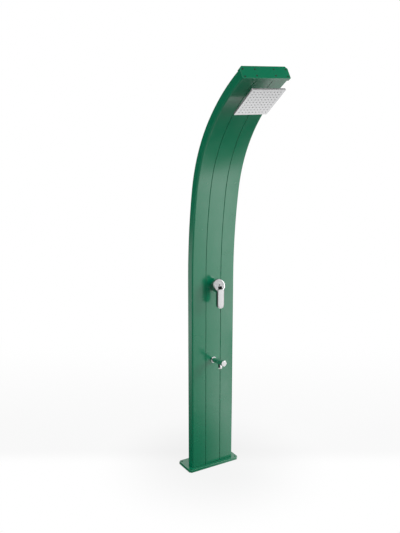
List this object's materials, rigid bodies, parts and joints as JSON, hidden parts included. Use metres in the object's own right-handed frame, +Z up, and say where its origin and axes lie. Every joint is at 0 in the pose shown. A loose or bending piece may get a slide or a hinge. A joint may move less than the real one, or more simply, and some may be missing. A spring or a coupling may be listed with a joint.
{
  "type": "outdoor shower post",
  "caption": "Free-standing outdoor shower post: bent green column on a bolted base plate, lever mixer, low foot tap and a square swivelling shower head.",
  "frame": {"origin": "middle of the base plate's anchor holes, on the floor, at the plate's underside", "axes": "+Z up, -Y towards the bather in front of the post, +X to the right of somebody who looks at the front"},
  "size_m": [0.344, 0.6219, 2.3383],
  "materials": {
    "green_aluminium": "gloss",
    "green_steel": "gloss",
    "black_rubber": "matte",
    "dark_steel": "satin",
    "stainless": "satin",
    "bare_aluminium": "satin",
    "brass": "satin",
    "pipe_copper": "satin",
    "white_plastic": "matte",
    "chrome": "polished",
    "dark_plastic": "matte",
    "head_steel": "satin",
    "jet_silicone": "matte"
  },
  "bodies": {
    "post": {"side_profile_left": "green_aluminium", "side_profile_right": "green_aluminium", "front_panel": "green_aluminium", "rear_panel": "green_aluminium", "end_cap": "green_aluminium", "base_plate": "green_steel", "foot_gasket": "black_rubber", "cap_gasket": "black_rubber", "mixer_washer": "black_rubber", "sleeve_seal": "black_rubber", "foot_screws": "dark_steel", "cap_screws": "dark_steel", "inlet_bracket": "stainless", "bracket_rivets": "bare_aluminium", "cold_inlet": "brass", "hot_inlet": "brass", "inlet_nuts": "brass", "supply_tee": "brass", "head_elbow": "brass", "mixer_body": "brass", "check_valves": "brass", "tap_headwork": "brass", "cartridge_nut": "brass", "cold_pipe_lower": "pipe_copper", "cold_pipe_upper": "pipe_copper", "hot_pipe": "pipe_copper", "riser_pipe": "pipe_copper", "riser_clip_lower": "white_plastic", "riser_clip_upper": "white_plastic", "mixer_cartridge": "white_plastic", "mixer_sleeve": "chrome", "tap_body": "chrome", "tap_collar": "chrome", "head_rosette": "chrome", "ball_stud": "chrome", "tap_aerator": "white_plastic"},
    "mixer_swivel": {"mixer_dome": "chrome", "cartridge_turret": "white_plastic", "lever_pin": "stainless"},
    "mixer_lever": {"lever_stem": "stainless", "mixer_handle": "chrome", "handle_screw": "stainless", "handle_plug": "dark_plastic"},
    "tap_handle": {"tap_spindle": "stainless", "tap_knob": "chrome", "knob_screw": "stainless"},
    "head_ring_rear": {"ball_seat_rear": "white_plastic"},
    "head_ring_front": {"ball_seat_front": "white_plastic"},
    "shower_head": {"swivel_nut": "chrome", "head_back": "head_steel", "head_face": "head_steel", "nozzle_mat": "jet_silicone"}
  },
  "joints": [
    {"name": "mixer_temperature", "type": "hinge", "parent": "post", "child": "mixer_swivel", "pos_m": [0, -0.066, 1.1275], "axis": [0, -1, 0], "range_deg": [-45, 45]},
    {"name": "mixer_flow", "type": "hinge", "parent": "mixer_swivel", "child": "mixer_lever", "pos_m": [0, -0.066, 1.1275], "axis": [-1, 0, 0], "range_deg": [0, 20]},
    {"name": "tap_turn", "type": "hinge", "parent": "post", "child": "tap_handle", "pos_m": [0, -0.14686, 0.69282], "axis": [0, -0.9936, 0.1132], "range_deg": [0, 90]},
    {"name": "head_tilt", "type": "hinge", "parent": "post", "child": "head_ring_rear", "pos_m": [0, -0.45196, 2.19102], "axis": [1, 0, 0], "range_deg": [-8, 8]},
    {"name": "head_roll", "type": "hinge", "parent": "head_ring_rear", "child": "head_ring_front", "pos_m": [0, -0.45196, 2.19102], "axis": [0, 0.7888, -0.6146], "range_deg": [-8, 8]},
    {"name": "head_turn", "type": "hinge", "parent": "head_ring_front", "child": "shower_head", "pos_m": [0, -0.45196, 2.19102], "axis": [0, -0.6146, -0.7888], "range_deg": [-90, 90]}
  ]
}
